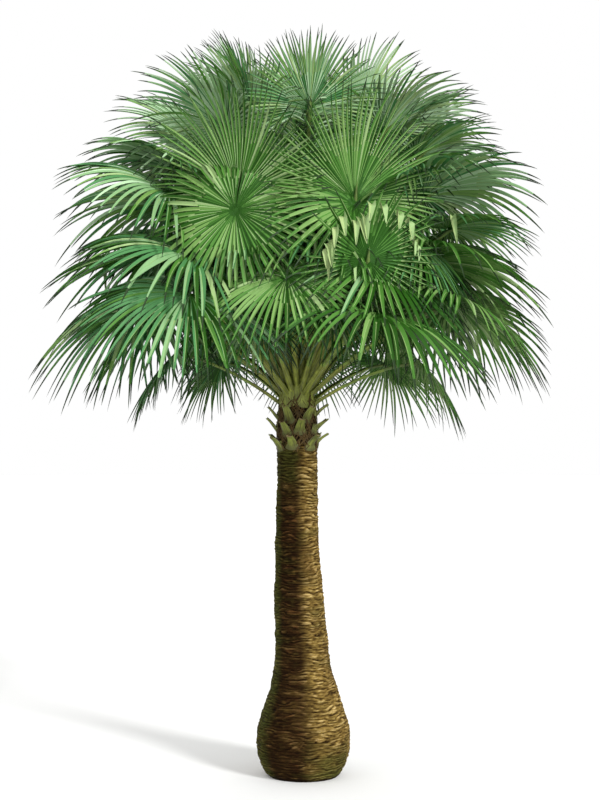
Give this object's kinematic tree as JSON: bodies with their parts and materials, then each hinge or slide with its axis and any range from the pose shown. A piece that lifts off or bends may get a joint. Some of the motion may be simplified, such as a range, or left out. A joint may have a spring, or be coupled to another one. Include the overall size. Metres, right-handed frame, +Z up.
{
  "type": "cabbage-tree palm",
  "caption": "Living palm with a ringed trunk, a swollen foot, cut leaf bases and a round crown of stalked fan-shaped fronds, for planting upright on level ground",
  "frame": {"origin": "middle of the flat cut under the trunk, at ground level", "axes": "+Z up the trunk, -Y towards the side that the picture shows, +X to its right"},
  "size_m": [4.7802, 4.7853, 6.6404],
  "materials": {
    "bark": "ringed and fissured bark",
    "boot": "dry fibrous leaf base",
    "lower_frond": "satin leaf",
    "upper_frond": "satin leaf"
  },
  "bodies": {
    "root": {"boot_01": "boot", "boot_02": "boot", "boot_03": "boot", "boot_04": "boot", "boot_05": "boot", "boot_06": "boot", "boot_07": "boot", "boot_08": "boot", "boot_09": "boot", "boot_10": "boot", "boot_11": "boot", "boot_12": "boot", "boot_13": "boot", "boot_14": "boot", "boot_15": "boot", "boot_16": "boot", "boot_17": "boot", "boot_18": "boot", "boot_19": "boot", "boot_20": "boot", "frond_01": "lower_frond", "frond_02": "lower_frond", "frond_03": "lower_frond", "frond_04": "lower_frond", "frond_05": "lower_frond", "frond_06": "lower_frond", "frond_07": "lower_frond", "frond_08": "lower_frond", "frond_09": "lower_frond", "frond_10": "lower_frond", "frond_11": "lower_frond", "frond_12": "lower_frond", "frond_13": "lower_frond", "frond_14": "lower_frond", "frond_15": "lower_frond", "frond_16": "lower_frond", "frond_17": "lower_frond", "frond_18": "lower_frond", "frond_19": "lower_frond", "frond_20": "lower_frond", "frond_21": "lower_frond", "frond_22": "lower_frond", "frond_23": "upper_frond", "frond_24": "upper_frond", "frond_25": "upper_frond", "frond_26": "upper_frond", "frond_27": "upper_frond", "frond_28": "upper_frond", "frond_29": "upper_frond", "frond_30": "upper_frond", "frond_31": "upper_frond", "frond_32": "upper_frond", "frond_33": "upper_frond", "frond_34": "upper_frond", "frond_35": "upper_frond", "frond_36": "upper_frond", "frond_37": "upper_frond", "frond_38": "upper_frond", "frond_39": "upper_frond", "trunk": "bark"}
  },
  "joints": []
}
